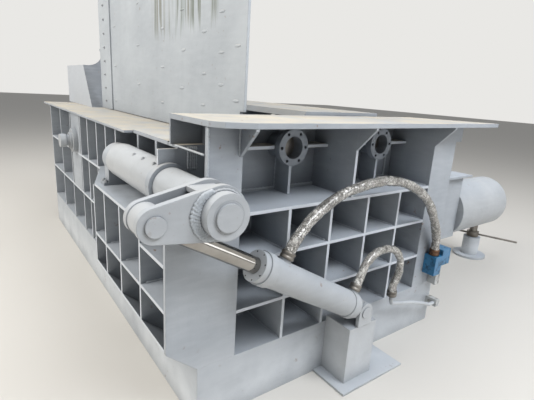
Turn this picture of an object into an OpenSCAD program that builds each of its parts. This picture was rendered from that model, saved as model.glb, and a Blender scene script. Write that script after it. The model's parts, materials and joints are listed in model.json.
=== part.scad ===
// Horizontal scrap baler: a ribbed steel press body with a tipping feed panel,
// a side crank, an end ram, a side ram and a hinged lid with two locks.
// Corner of the base nearest the crank is the working origin; place() centres it.

/* [Base] */
// Width of the base across the front face
base_w = 1790; // [1750:10:1900]
// Length of the base from front to back
base_l = 3390; // [3300:10:3600]
// Height of the base skirt
skirt_h = 300; // [260:5:340]
// Thickness of the skirt, columns and walls
wall_t = 20; // [14:1:26]
// Thickness of shelves and ribs
rib_t = 16; // [10:1:20]

/* [Levels] */
// Upper face of the side decks above the floor
deck_z = 1245; // [1200:5:1300]
// Thickness of the side decks
deck_t = 14; // [10:1:20]
// Underside of the raised front plate above the floor
raised_z = 1357; // [1340:1:1390]
// Thickness of the raised front plate
raised_t = 23; // [16:1:30]
// Upper face of the lower left shelf
shelf_low = 620; // [560:5:660]
// Upper face of the upper left shelf, which carries the bearings
shelf_high = 925; // [900:5:940]

/* [Left side] */
// Depth of the bays on the left side
left_d = 432; // [400:2:440]
// How far the stepped front section stands out
step_out = 144; // [100:2:180]
// Length of the stepped front section
step_l = 1090; // [1000:5:1200]
// Height of the sloped edge where the step ends outside
step_z = 424; // [380:2:460]
// Depth of the wide post plate on the left side
post_l = 320; // [200:5:360]
// Radius of the round boss on the post plate
boss_r = 95; // [60:1:120]

/* [Front] */
// Depth of the bays on the front face
front_d = 310; // [280:5:320]
// Width of the left column
col_left = 190; // [160:2:220]
// Width of the right column
col_right = 230; // [180:2:260]
// Upper face of the top front shelf
front_high = 992; // [960:2:1010]
// Upper face of the middle front shelf
front_mid = 772; // [740:2:800]
// Upper face of the low front shelf
front_low = 535; // [500:2:560]
// Number of bays across the front face
bays = 5; // [4:1:6]
// How far the raised plate stands out in front
overhang = 115; // [80:1:140]

/* [Lid locks] */
// Outer radius of the lock flange
flange_r = 92; // [86:1:100]
// Thickness of the lock flange
flange_t = 35; // [20:1:40]
// Bore radius of the lock sleeve
lock_r = 56; // [48:1:58]
// Outer radius of the lock sleeve
sleeve_r = 66; // [60:1:67]
// Radius of the circle of flange holes
lock_pcr = 76; // [70:1:80]
// Radius of each flange hole
lock_hole_r = 8; // [5:0.5:10]
// Distance of the left lock from the base corner
lock_left = 600; // [560:5:640]
// Distance between the two locks
lock_gap = 670; // [600:5:700]
// Height of the lock axes above the floor
lock_z = 1233; // [1220:1:1245]
// Distance of the lock flange from the front face
lock_face = 170; // [150:1:190]

/* [Chamber] */
// Width of the press chamber
chamber_w = 988; // [940:2:1000]
// Upper face of the chamber floor
floor_z = 400; // [380:2:420]
// Gap between a ram and the walls that guide it
ram_gap = 5; // [3:1:10]
// Length of the end ram box
ram_l = 680; // [500:10:760]
// Travel of the end ram
ram_travel = 1900; // [1500:10:1920]
// Radius of the end ram barrel
main_barrel_r = 160; // [130:1:180]
// Radius of the end ram rod
main_rod_r = 90; // [60:1:100]
// Height of the end ram axis
main_z = 760; // [700:5:800]

/* [Side ram] */
// Width of the side ram along the press
side_w = 296; // [260:2:300]
// Height of the side ram
side_h = 346; // [300:2:360]
// Travel of the side ram
side_travel = 560; // [400:10:560]
// Height of the side cylinder axis
side_z = 575; // [560:1:590]
// Outer radius of the side cylinder
side_barrel_r = 232; // [180:1:240]
// Length of the side cylinder barrel
side_barrel_l = 770; // [770:10:1200]
// Radius of the side ram rod
side_rod_r = 80; // [50:1:100]

/* [Crank] */
// Distance of the shaft axis outside the left face
shaft_out = 10; // [5:1:15]
// Height of the shaft axis above the floor
shaft_z = 1072; // [1065:1:1085]
// Radius of the shaft
shaft_r = 60; // [50:1:64]
// Crank arm from shaft axis to crank pin, sideways
arm_x = 242; // [220:1:250]
// Drop of the crank pin below the shaft axis
arm_drop = 12; // [5:1:20]
// Thickness of a crank cheek
cheek_t = 28; // [18:1:34]
// Clear width between the cheeks
cheek_gap = 74; // [70:1:80]
// Radius of the cheek round the shaft
cheek_big_r = 104; // [96:1:110]
// Radius of the cheek round the crank pin
cheek_eye_r = 62; // [54:1:66]
// Radius of the crank pin
crank_pin_r = 36; // [28:1:38]
// Radius of the torque tube
tube_r = 95; // [85:1:100]
// Radius of the hub between cheek and bearing
hub_r = 84; // [76:1:86]
// Rear pivot of the crank cylinder from the base corner
pivot_x = 880; // [860:5:900]
// Height of the rear pivot of the crank cylinder
pivot_z = 410; // [400:2:420]
// Radius of the crank cylinder barrel
crank_barrel_r = 69; // [60:1:74]
// Bore radius of the crank cylinder
crank_bore_r = 55; // [48:1:58]
// Radius of the crank cylinder rod
crank_rod_r = 35; // [25:1:38]
// Distance of the gland face from the crank pin
gland_at = 509; // [490:1:520]
// Width of the pedestal box
pedestal_w = 205; // [160:5:240]
// Height of the pedestal box
pedestal_h = 323; // [300:1:330]

/* [Feed panel] */
// Height of the feed panel above the deck
panel_h = 1150; // [900:10:1400]
// Length of the feed panel
panel_l = 2204; // [2100:4:2240]
// Thickness of the feed panel over both skins
panel_t = 60; // [48:1:60]
// Thickness of each panel skin
skin_t = 14; // [8:1:16]
// How far the panel frame is set back from the near edge
frame_back = 100; // [60:5:160]
// Length of the plate added at the far end
extension_l = 300; // [200:5:310]

/* [Lid] */
// Length of the lid
lid_l = 2180; // [2100:10:2180]
// Depth of the lid plug inside the mouth
plug_d = 110; // [90:1:120]
// Thickness of the lid panel
lid_t = 30; // [20:1:40]
// Upper face of the lid above the floor
lid_top = 1400; // [1390:1:1420]

/* [Jack] */
// Distance of the jack from the far end of the side cylinder
jack_in = 50; // [40:5:170]
// Radius of the jack foot
jack_foot_r = 150; // [120:2:180]
// Radius of the jack post
jack_post_r = 77; // [60:1:90]
// Radius of the jack screw
jack_screw_r = 36; // [26:1:44]

/* [Fits] */
// Radial clearance of a running fit
run_fit = 0.05; // [0.02:0.01:0.1]
// Clearance between curved faces that do not run
seat_gap = 0.3; // [0.2:0.05:0.5]

/* [Hidden] */
$fn = 48;
paint = "#A3ABB2";
pale = "#C4C6C5";
steel = "#8E8B86";

under_deck = deck_z - deck_t;
raised_top = raised_z + raised_t;
chamber_x = left_d + wall_t;
chamber_end = chamber_x + chamber_w;
chamber_mid = chamber_x + chamber_w / 2;
wall_back = front_d + wall_t;
rear_t = 2 * wall_t;
rear_y = base_l - rear_t;
side_in = col_left - rib_t;
right_in = base_w - col_right;
column_head = 28;
plate_left = 22;
plate_back = 350;
plate_over = 260;
step_plate_drop = 124;
deck_over = 15;
deck_far = base_l + 300;
post_y = 2080;
cap_reach = 300;
boss_z = 1016;

rib_y = [1105, 1326, 1554, 1815, 2047, 2432, 2864, base_l - rib_t];
step_rib_y = [290, 580, 850, step_l - rib_t];
right_rib_y = [900, 1326, 1815, 2304, 2864, base_l - rib_t];
rows = [[skirt_h, shelf_low - rib_t], [shelf_low, shelf_high - rib_t], [shelf_high, under_deck]];

shaft_x = -shaft_out;
pin_x = shaft_x - arm_x;
pin_z = shaft_z - arm_drop;
cyl_y = -125;
cheek_front = cyl_y - cheek_gap / 2 - cheek_t;
cheek_rear = cyl_y + cheek_gap / 2;
boss_t = 50;
boss_front = cheek_front - boss_t;
hub_end = 258;
bearing_y = [262, 965];
bearing_t = [44, 80];
tube_y = bearing_y[0] + bearing_t[0] + 4;
tube_end = bearing_y[1] - 5;
shaft_end = bearing_y[1] + bearing_t[1] + 20;
bearing_r = [100, 86];
eye_t = cheek_gap - 2 * seat_gap;

cyl_dx = pivot_x - pin_x;
cyl_dz = pin_z - pivot_z;
cyl_len = sqrt(cyl_dx * cyl_dx + cyl_dz * cyl_dz);
cyl_tilt = atan2(cyl_dz, cyl_dx);
gland_l = 60;
barrel_back = cyl_len - 69;

panel_x = left_d - 40;
panel_y = 356;
panel_z = deck_z + 5;
panel_far = panel_y + panel_l;
feed_y = 400;
feed_l = 485;
feed_x = 35;

lid_gap = 23;
lid_x = chamber_x + lid_gap;
lid_w = chamber_w - lid_gap - 8;
lid_y = 360;
lid_low = deck_z - plug_d;
lid_up = lid_low + lid_t;
lid_cover_t = 34;
lid_step_x = 799;
lid_hinge_x = chamber_end + 80;
lid_hinge_z = deck_z + 60;
lid_pin_r = 25;
lid_lug_t = 30;
lid_lug_y = [620, 1430, 2240];

ram_x = chamber_x + ram_gap;
ram_w = chamber_w - 2 * ram_gap;
side_ram_l = 400;
ram_back = 790;
ram_y = rear_y - ram_back;
ram_low = floor_z + 1;
ram_top = lid_low - ram_gap;
side_low = side_z - side_h / 2;
side_y = wall_back + wall_t + ram_gap + side_w / 2 + 1;
channel_end = 2600;
piston_gap = 1;

module place() {
    translate([-base_w / 2, -base_l / 2, 0]) children();
}

// A flat plate drawn in the X and Z directions and given a thickness along Y
module upright_x(y, t) {
    translate([0, y + t, 0]) rotate([90, 0, 0]) linear_extrude(t) children();
}

// A flat plate drawn in the Y and Z directions and given a thickness along X
module upright_y(x, t) {
    translate([x, 0, 0]) rotate([90, 0, 90]) linear_extrude(t) children();
}

// A round bar along Y from y0 to y1
module bar_y(x, z, r, y0, y1) {
    translate([x, y1, z]) rotate([90, 0, 0]) cylinder(r = r, h = y1 - y0);
}

// A round bar along X from x0 to x1
module bar_x(y, z, r, x0, x1) {
    translate([x0, y, z]) rotate([0, 90, 0]) cylinder(r = r, h = x1 - x0);
}

// Two discs joined by their outer tangents, as a flat link
module link_outline(p1, r1, p2, r2) {
    d = p2 - p1;
    turn = atan2(d[1], d[0]);
    lean = acos((r1 - r2) / norm(d));
    translate(p1) circle(r = r1);
    translate(p2) circle(r = r2);
    polygon([
        p1 + r1 * [cos(turn + lean), sin(turn + lean)],
        p1 + r1 * [cos(turn - lean), sin(turn - lean)],
        p2 + r2 * [cos(turn - lean), sin(turn - lean)],
        p2 + r2 * [cos(turn + lean), sin(turn + lean)]
    ]);
}

// Children drawn with Z along the crank cylinder, from the crank pin to its pivot
module along_cylinder() {
    translate([pin_x, cyl_y, pin_z]) rotate([0, 90 + cyl_tilt, 0]) children();
}

// A tube swept through the points of a hose
function unit(v) = v / norm(v);
function run_dir(p, i) = unit(p[min(i + 1, len(p) - 1)] - p[max(i - 1, 0)]);
function mid_points(p) = [for (i = [0:len(p) - 2]) each [p[i], (p[i] + p[i + 1]) / 2], p[len(p) - 1]];
module hose(points, r) {
    sides = 10;
    count = len(points);
    side = [0, 1, 0];
    rings = [for (i = [0:count - 1]) let (
        t = run_dir(points, i), u = unit(cross(side, t)), v = cross(t, u))
        for (k = [0:sides - 1]) points[i] + r * (cos(360 * k / sides) * u + sin(360 * k / sides) * v)];
    walls = [for (i = [0:count - 2]) for (k = [0:sides - 1])
        [i * sides + k, (i + 1) * sides + k, (i + 1) * sides + (k + 1) % sides, i * sides + (k + 1) % sides]];
    first = [for (k = [0:sides - 1]) k];
    last = [for (k = [sides - 1:-1:0]) (count - 1) * sides + k];
    polyhedron(rings, concat([first], walls, [last]));
}

hose_r = 25;
port_r = 26;
port_h = 105;
front_port = gland_at + 145;
rear_port = cyl_len - 105;
valve_x = base_w - 110;
valve_y = -45;
valve_top = 560;
elbow = [1212, -92, 394];
pipe_end_x = base_w - 37;

// A point above the crank cylinder, at a distance along it and out from its axis
function over_cylinder(along, out) = [pin_x + along * cos(cyl_tilt) + out * sin(cyl_tilt), cyl_y,
    pin_z - along * sin(cyl_tilt) + out * cos(cyl_tilt)];

long_route = [over_cylinder(front_port, port_h + seat_gap), over_cylinder(front_port, port_h + 40),
    [445, -115, 910], [540, -100, 975], [686, -90, 1040], [840, -90, 1074], [1007, -90, 1086],
    [1183, -90, 1060], [1350, -90, 990], [1461, -88, 904], [1550, -80, 800], [1610, -68, 720],
    [1660, -52, 650], [valve_x, valve_y, 600], [valve_x, valve_y, valve_top + seat_gap]];
short_route = [over_cylinder(rear_port, port_h + seat_gap), over_cylinder(rear_port, port_h + 40),
    [905, -120, 650], [975, -112, 696], [1079, -110, 704], [1170, -110, 672], [1222, -110, 600],
    [1226, -105, 516], elbow + [0, 0, 50], elbow + [0, 0, seat_gap]];
jack_x = channel_end + side_barrel_l - jack_in;
pipe_run = 541;
pipe_share = (pipe_end_x - elbow[0]) / pipe_run;
function pipe_x(run) = elbow[0] + run * pipe_share;
pipe_route = [elbow, elbow - [0, 0, 40], [pipe_x(28), -80, 316], [pipe_x(118), -70, 285], [pipe_x(268), -60, 245],
    [pipe_x(428), -60, 190], [pipe_x(488), -60, 165], [pipe_end_x - seat_gap, -60, 165]];

module base_frame() color(paint) place() {
    difference() {
        cube([base_w, base_l, skirt_h]);
        translate([wall_t, wall_t, -1]) cube([base_w - 2 * wall_t, base_l - 2 * wall_t, skirt_h - rib_t + 1]);
    }
    bearer_h = skirt_h - rib_t;
    for (k = [1:5])
        translate([wall_t, (k * base_l - 3 * wall_t) / 6, 0]) cube([base_w - 2 * wall_t, wall_t, bearer_h]);
}

module chamber_floor() color(paint) place() {
    floor_l = rear_y - wall_back;
    translate([chamber_x, wall_back, floor_z - wall_t]) cube([chamber_w, floor_l, wall_t]);
    joist_h = floor_z - wall_t - skirt_h;
    for (k = [0:7])
        translate([chamber_x, wall_back + k * (floor_l - wall_t) / 7, skirt_h])
            cube([chamber_w, wall_t, joist_h]);
}

module left_wall() color(paint) place()
    translate([left_d, wall_back, skirt_h])
        cube([wall_t, rear_y - wall_back, under_deck - skirt_h]);

// The outline of a left shelf, out to the step and back to the left face
module left_shelf_plan(step_a, step_b) {
    polygon([[-step_out, wall_t], [side_in, wall_t], [side_in, wall_back], [left_d, wall_back],
        [left_d, base_l - rib_t], [0, base_l - rib_t], [0, step_b], [-step_out, step_a]]);
}

module left_shelves() color(paint) place() {
    translate([0, 0, shelf_low - rib_t]) linear_extrude(rib_t) left_shelf_plan(step_l, step_l);
    translate([0, 0, shelf_high - rib_t]) linear_extrude(rib_t) left_shelf_plan(step_l - 40, 1500);
    short_z = 820;
    translate([-step_out, wall_t, short_z - rib_t])
        cube([side_in + step_out, step_rib_y[0] - wall_t, rib_t]);
}

module left_ribs() color(paint) place() {
    for (y = rib_y)
        for (row = rows)
            translate([0, y, row[0]]) cube([left_d, rib_t, row[1] - row[0]]);
}

module step_ribs() color(paint) place() {
    upright_x(wall_t, step_l - wall_t) polygon([[0, skirt_h], [0, skirt_h + rib_t],
        [-step_out, step_z + rib_t], [-step_out, step_z]]);
    for (k = [0:len(step_rib_y) - 1]) {
        rib_end = k == 0 ? side_in : left_d;
        upright_x(step_rib_y[k], rib_t) polygon([[0, skirt_h], [rib_end, skirt_h],
            [rib_end, rows[0][1]], [-step_out, rows[0][1]], [-step_out, step_z + rib_t],
            [0, skirt_h + rib_t]]);
        translate([-step_out, step_rib_y[k], shelf_low])
            cube([step_out + rib_end, rib_t, rows[1][1] - rows[1][0]]);
    }
    carrier_x = -55;
    upright_x(step_rib_y[0], rib_t) difference() {
        translate([carrier_x, shelf_high]) square([side_in - carrier_x, under_deck - shelf_high]);
        translate([shaft_x, shaft_z]) circle(r = bearing_r[0] + seat_gap);
    }
    inner_x = shaft_x + tube_r + 25;
    translate([inner_x, feed_y + feed_l + 15, shelf_high])
        cube([left_d - inner_x, rib_t, under_deck - shelf_high]);
}

module post_plate() color(paint) place()
    for (row = [rows[1], rows[2]])
        translate([0, post_y, row[0]]) cube([rib_t, post_l, row[1] - row[0]]);

module post_boss() color(pale) place() {
    post_mid = post_y + post_l / 2;
    bar_x(post_mid, boss_z, boss_r, -34, 0);
    bar_x(post_mid, boss_z, 64, -52, -34);
    bar_x(post_mid, boss_z, 44, -76, -52);
    bar_x(post_mid, boss_z, 53, -120, -76);
}

module left_deck() color(paint) place() {
    deck_near = feed_y + feed_l + 5;
    translate([-deck_over, deck_near, under_deck])
        cube([chamber_x + deck_over, deck_far - deck_near, deck_t]);
    near_end = feed_y - 5;
    translate([0, 0, under_deck]) linear_extrude(deck_t)
        polygon([[feed_x, step_rib_y[0]], [side_in, step_rib_y[0]], [side_in, wall_back],
            [left_d, wall_back], [left_d, near_end], [feed_x, near_end]]);
}

module rear_bracket() color(paint) place() {
    plate_in = 127;
    plate_x = left_d - plate_in;
    bracket_gap = 20;
    plate_y = panel_far + extension_l + bracket_gap;
    plate_far = deck_far + 250;
    plate_h = 396;
    lean_y = 278;
    lean = atan2(lean_y, plate_h);
    slope_l = norm([plate_h, lean_y]);
    horn_x = 488;
    horn_l = 697;
    inner_x = 700;
    scoop_r = 165;
    upright_y(plate_x - rib_t, rib_t) polygon([[plate_y, deck_z], [plate_far, deck_z],
        [plate_far, deck_z + plate_h], [plate_y + lean_y, deck_z + plate_h]]);
    difference() {
        translate([0, plate_y, deck_z]) rotate([90 - lean, 0, 0]) translate([0, 0, -rib_t])
            linear_extrude(rib_t) difference() {
                polygon([[plate_x, 0], [inner_x, 0], [inner_x, horn_l], [horn_x, horn_l],
                    [horn_x - scoop_r, slope_l], [plate_x, slope_l]]);
                translate([horn_x - scoop_r, slope_l + scoop_r]) circle(r = scoop_r);
            }
        translate([0, plate_y - 50, deck_z - 50]) cube([inner_x + 50, 150, 50]);
    }
}

module left_column() color(paint) place()
    upright_x(0, wall_t) difference() {
        polygon([[0, skirt_h], [col_left, skirt_h], [col_left, raised_z], [column_head, raised_z],
            [column_head, shelf_high], [-step_out, shelf_high], [-step_out, step_z]]);
        translate([shaft_x, shaft_z]) circle(r = hub_r + 2);
    }

module right_column() color(paint) place()
    upright_x(0, wall_t) polygon([[right_in, skirt_h], [base_w, skirt_h], [base_w, 1256],
        [base_w + 60, 1256], [base_w + 60, raised_z], [right_in, raised_z]]);

module front_wall() color(paint) place()
    difference() {
        translate([side_in, front_d, skirt_h])
            cube([right_in + rib_t - side_in, wall_t, raised_z - skirt_h]);
        for (x = [lock_left, lock_left + lock_gap])
            bar_y(x, lock_z, sleeve_r + seat_gap, front_d - 1, wall_back + 1);
    }

module front_shelves() color(paint) place()
    for (z = [front_high, front_mid, front_low])
        translate([col_left, 0, z - rib_t]) cube([right_in - col_left, front_d, rib_t]);

module front_ribs() color(paint) place() {
    pitch = (right_in - col_left) / bays;
    front_rows = [[skirt_h, front_low - rib_t], [front_low, front_mid - rib_t],
        [front_mid, front_high - rib_t]];
    for (k = [1:bays - 1])
        for (row = front_rows)
            translate([col_left + k * pitch - rib_t / 2, 0, row[0]])
                cube([rib_t, front_d, row[1] - row[0]]);
    middle_x = (col_left + right_in) / 2 - rib_t / 2;
    translate([middle_x, 0, front_high]) cube([rib_t, front_d, raised_z - front_high]);
}

module bay_sides() color(paint) place()
    for (x = [side_in, right_in])
        translate([x, wall_t, skirt_h]) cube([rib_t, front_d - wall_t, raised_z - skirt_h]);

module sleeve_webs() color(paint) place() {
    web_y = lock_face + flange_t;
    nut_room = flange_r + 4;
    nut_l = 35;
    rib_front = lock_face + 19;
    middle_x = (col_left + right_in) / 2;
    tube_x = sleeve_r + seat_gap;
    for (x = [lock_left, lock_left + lock_gap]) {
        near = x < middle_x ? col_left : middle_x + rib_t / 2;
        far = x < middle_x ? middle_x - rib_t / 2 : right_in;
        translate([0, 0, lock_z - rib_t / 2]) linear_extrude(rib_t) {
            polygon([[near, web_y], [x - nut_room, web_y], [x - nut_room, web_y + nut_l],
                [x - tube_x, web_y + nut_l], [x - tube_x, front_d], [near, front_d]]);
            polygon([[far, web_y], [x + nut_room, web_y], [x + nut_room, web_y + nut_l],
                [x + tube_x, web_y + nut_l], [x + tube_x, front_d], [far, front_d]]);
        }
        rib_top = lock_z - flange_r - seat_gap;
        upright_y(x - rib_t / 2, rib_t) polygon([[rib_front, front_high], [front_d, front_high],
            [front_d, lock_z - tube_x], [web_y + seat_gap, lock_z - tube_x],
            [web_y + seat_gap, rib_top], [rib_front, rib_top]]);
    }
}

module gussets() color(paint) place() {
    gusset_drop = 122;
    for (x = [side_in, (col_left + right_in) / 2 - rib_t / 2, right_in])
        upright_y(x, rib_t) polygon([[0, raised_z - gusset_drop], [0, raised_z],
            [-overhang + 5, raised_z], [-overhang + 5, raised_z - 8]]);
}

module top_plate() color(paint) place()
    translate([0, 0, raised_z]) linear_extrude(raised_t)
        polygon([[plate_left, plate_back], [plate_left, -15], [60, -75], [col_left - 10, -overhang],
            [base_w + plate_over, -overhang], [base_w + plate_over, -60], [base_w - 30, plate_back]]);

module cheek_plate() color(paint) place()
    translate([22, 338, deck_z]) cube([col_left, 12, raised_z - deck_z]);

module lock_sleeves() color(pale) place()
    for (x = [lock_left, lock_left + lock_gap]) {
        difference() {
            union() {
                bar_y(x, lock_z, sleeve_r, lock_face, wall_back + 15);
                bar_y(x, lock_z, flange_r, lock_face, lock_face + flange_t);
            }
            bar_y(x, lock_z, lock_r, lock_face - 1, wall_back + 16);
            for (k = [0:5])
                bar_y(x + lock_pcr * cos(60 * k), lock_z + lock_pcr * sin(60 * k), lock_hole_r,
                    lock_face - 1, lock_face + flange_t + 1);
        }
    }

module right_wall() color(paint) place()
    difference() {
        translate([chamber_end, wall_back, skirt_h])
            cube([wall_t, rear_y - wall_back, under_deck - skirt_h]);
        translate([chamber_end - 1, side_y - side_w / 2 - ram_gap, side_low - ram_gap])
            cube([wall_t + 2, side_w + 2 * ram_gap, side_h + 2 * ram_gap]);
    }

module right_ribs() color(paint) place() {
    x0 = chamber_end + wall_t;
    depth = base_w - x0;
    for (y = right_rib_y)
        translate([x0, y, skirt_h]) cube([depth, rib_t, under_deck - skirt_h]);
}

module right_deck() color(paint) place()
    translate([chamber_end, wall_back, under_deck])
        cube([base_w + deck_over - chamber_end, base_l - wall_back, deck_t]);

module side_channel() color(paint) place() {
    x0 = chamber_end + wall_t;
    y0 = side_y - side_w / 2 - ram_gap;
    z0 = side_low - ram_gap;
    inner_w = side_w + 2 * ram_gap;
    inner_h = side_h + 2 * ram_gap;
    difference() {
        translate([x0, y0 - wall_t, z0 - wall_t])
            cube([channel_end - x0, inner_w + 2 * wall_t, inner_h + 2 * wall_t]);
        translate([x0 - 1, y0, z0]) cube([channel_end - x0 + 2, inner_w, inner_h]);
    }
    roof_z = 904;
    roof_over = 65;
    translate([base_w + 10, y0 - 60, roof_z])
        cube([channel_end + roof_over - base_w - 10, inner_w + 120, rib_t]);
    for (y = [y0 - wall_t, y0 + inner_w])
        translate([base_w + 10, y, z0 + inner_h + wall_t])
            cube([channel_end - base_w - 10, wall_t, roof_z - z0 - inner_h - wall_t]);
}

module side_barrel() color(pale) place() {
    back_x = channel_end + side_barrel_l;
    wall = 40;
    head = 60;
    difference() {
        bar_x(side_y, side_z, side_barrel_r, channel_end, back_x);
        bar_x(side_y, side_z, side_rod_r + run_fit, channel_end - 1, channel_end + head + 1);
        bar_x(side_y, side_z, side_barrel_r - wall, channel_end + head, back_x - head);
    }
}

module rear_wall() color(paint) place()
    difference() {
        translate([left_d, rear_y, skirt_h])
            cube([chamber_w + 2 * wall_t, rear_t - rib_t, under_deck - skirt_h]);
        bar_y(chamber_mid, main_z, main_barrel_r + seat_gap, rear_y - 1, base_l);
    }

module main_barrel() color(pale) place() {
    front_y = ram_y + 700;
    back_y = front_y + ram_travel + 320;
    head = 110;
    wall = 30;
    difference() {
        union() {
            bar_y(chamber_mid, main_z, main_barrel_r, front_y, back_y);
            bar_y(chamber_mid, main_z, main_barrel_r + 60, rear_y + rear_t - rib_t, rear_y + rear_t + 34);
            bar_y(chamber_mid, main_z, main_barrel_r + 15, back_y - 60, back_y - 10);
        }
        bar_y(chamber_mid, main_z, main_rod_r + run_fit, front_y - 1, front_y + head + 1);
        bar_y(chamber_mid, main_z, main_barrel_r - wall, front_y + head, back_y - head);
    }
}

// A bearing ring, and under the far one its foot and its base plate
module bearing_block(k) {
    y = bearing_y[k];
    t = bearing_t[k];
    difference() {
        union() {
            bar_y(shaft_x, shaft_z, bearing_r[k], y, y + t);
            if (k == 1) {
                foot_w = 150;
                base_x = 102;
                base_t = 15;
                translate([shaft_x - foot_w / 2, y, shelf_high]) cube([foot_w, t, shaft_z - shelf_high]);
                translate([shaft_x - base_x, y, shelf_high]) cube([2 * base_x, t, base_t]);
            }
        }
        bar_y(shaft_x, shaft_z, shaft_r + run_fit, y - 1, y + t + 1);
    }
}

module bearing_bases() color(paint) place()
    for (k = [0, 1])
        intersection() {
            bearing_block(k);
            translate([shaft_x - cap_reach, 0, 0]) cube([2 * cap_reach, base_l, shaft_z]);
        }

module bearing_caps() color(paint) place()
    for (k = [0, 1])
        intersection() {
            bearing_block(k);
            translate([shaft_x - cap_reach, 0, shaft_z]) cube([2 * cap_reach, base_l, cap_reach]);
        }

module pedestal() color(pale) place() {
    foot_t = 12;
    foot_left = 165;
    foot_w = 480;
    lug_t = 20;
    lug_gap = cheek_gap / 2;
    lug_r = 50;
    depth = 175;
    translate([pivot_x - foot_left, -depth - 60, 0]) cube([foot_w, depth + 60, foot_t]);
    translate([pivot_x - pedestal_w / 2, -depth, foot_t]) cube([pedestal_w, depth, pedestal_h]);
    for (y = [cyl_y - lug_gap - lug_t, cyl_y + lug_gap])
        difference() {
            union() {
                bar_y(pivot_x, pivot_z, lug_r, y, y + lug_t);
                translate([pivot_x - lug_r, y, foot_t + pedestal_h])
                    cube([2 * lug_r, lug_t, pivot_z - foot_t - pedestal_h]);
            }
            bar_y(pivot_x, pivot_z, 30 + run_fit, y - 1, y + lug_t + 1);
        }
}

module pivot_pin() color(steel) place()
    bar_y(pivot_x, pivot_z, 30, cyl_y - 62, cyl_y + 62);

module valve_block() color("#2E7DA8") place() {
    depth = 85;
    left_x = base_w - 142;
    body_w = 72;
    side_x = left_x + body_w;
    translate([left_x, -depth, 395]) cube([body_w, depth, 130]);
    translate([side_x, -depth, 455]) cube([90, depth, 107]);
    translate([side_x + 15, -depth + 30, 300]) cube([50, depth - 30, 155]);
    translate([valve_x, valve_y, 525]) cylinder(r = hose_r + 1, h = valve_top - 525);
    translate([pipe_end_x, -80, 140]) cube([36, 80, 50]);
}

module long_hose() color("#B9B0A0") place() hose(mid_points(long_route), hose_r);

module short_hose() color("#B9B0A0") place() hose(mid_points(short_route), hose_r - 3);

module return_pipe() color("#C9C5BC") place() hose(mid_points(pipe_route), 12);

module jack_base() color(paint) place() {
    post_h = 200;
    difference() {
        union() {
            translate([jack_x, side_y, 0]) cylinder(r = jack_foot_r, h = 20);
            translate([jack_x, side_y, 0]) cylinder(r = jack_post_r, h = post_h);
        }
        translate([jack_x, side_y, 60]) cylinder(r = jack_screw_r + run_fit, h = post_h);
    }
}

module jack_screw() color(steel) place() {
    screw_top = side_z - side_barrel_r - seat_gap;
    collar_z = 205;
    collar_h = 50;
    head_r = 45;
    head_t = 15;
    bar_z = collar_z + collar_h / 2;
    bar_turn = -70;
    bar_l = 390;
    bar_back = 170;
    screw_foot = 90;
    translate([jack_x, side_y, screw_foot]) cylinder(r = jack_screw_r, h = screw_top - screw_foot - head_t);
    translate([jack_x, side_y, collar_z]) cylinder(r = head_r + 10, h = collar_h);
    translate([jack_x, side_y, screw_top - head_t]) cylinder(r = head_r, h = head_t);
    translate([jack_x, side_y, bar_z]) rotate([0, 90, bar_turn]) cylinder(r = 9, h = bar_l);
    translate([jack_x, side_y, bar_z]) rotate([0, 90, bar_turn + 180]) cylinder(r = 9, h = bar_back);
}

module lid_brackets() color(paint) place()
    for (y = lid_lug_y)
        for (side = [-1, 1]) {
            lug_y = y + side * (lid_lug_t + 6) - lid_lug_t / 2;
            upright_x(lug_y, lid_lug_t) difference() {
                union() {
                    translate([lid_hinge_x, lid_hinge_z]) circle(r = 55);
                    translate([lid_hinge_x - 55, deck_z]) square([160, lid_hinge_z - deck_z]);
                }
                translate([lid_hinge_x, lid_hinge_z]) circle(r = lid_pin_r + run_fit);
            }
        }

module lid_pin() color(steel) place()
    for (y = lid_lug_y)
        bar_y(lid_hinge_x, lid_hinge_z, lid_pin_r, y - 66, y + 66);

module lid_panel() color(paint) place() {
    translate([lid_x, lid_y, lid_low]) cube([lid_w, lid_l, lid_t]);
    pad_w = 80;
    pad_l = 100;
    pad_top = lock_z - lock_r - seat_gap;
    for (x = [lock_left, lock_left + lock_gap])
        translate([x - pad_w / 2, lid_y, lid_up]) cube([pad_w, pad_l, pad_top - lid_up]);
}

module lid_ribs() color(paint) place() {
    front_rib_in = 115;
    rib_top = lid_top - lid_cover_t;
    low_top = lid_up + 60;
    lug_reach = lid_hinge_x - lid_x - lid_w;
    outline = [[lid_x, lid_up], [lid_x + lid_w, lid_up], [lid_x + lid_w, rib_top],
        [lid_step_x, rib_top], [lid_x, low_top]];
    for (y = [lid_y + front_rib_in, (lid_lug_y[0] + lid_lug_y[1]) / 2, (lid_lug_y[1] + lid_lug_y[2]) / 2,
            lid_y + lid_l - wall_t])
        upright_x(y, wall_t) polygon(outline);
    for (y = lid_lug_y)
        difference() {
            union() {
                upright_x(y - lid_lug_t / 2, lid_lug_t) polygon(outline);
                translate([lid_x + lid_w, y - lid_lug_t / 2, lid_hinge_z - 40])
                    cube([lug_reach, lid_lug_t, 80]);
                bar_y(lid_hinge_x, lid_hinge_z, 45, y - lid_lug_t / 2, y + lid_lug_t / 2);
            }
            bar_y(lid_hinge_x, lid_hinge_z, lid_pin_r + run_fit, y - lid_lug_t, y + lid_lug_t);
        }
}

module lid_cover() color(paint) place() {
    under = lid_top - lid_cover_t;
    upright_x(lid_y, lid_l) polygon([[lid_step_x, under], [lid_step_x + lid_cover_t, lid_top],
        [lid_x + lid_w, lid_top], [lid_x + lid_w, under]]);
}

module crank_shaft() color(steel) place() {
    bar_y(shaft_x, shaft_z, shaft_r, boss_front, shaft_end);
    bar_y(shaft_x, shaft_z, shaft_r - 8, boss_front - 10, boss_front);
}

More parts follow.
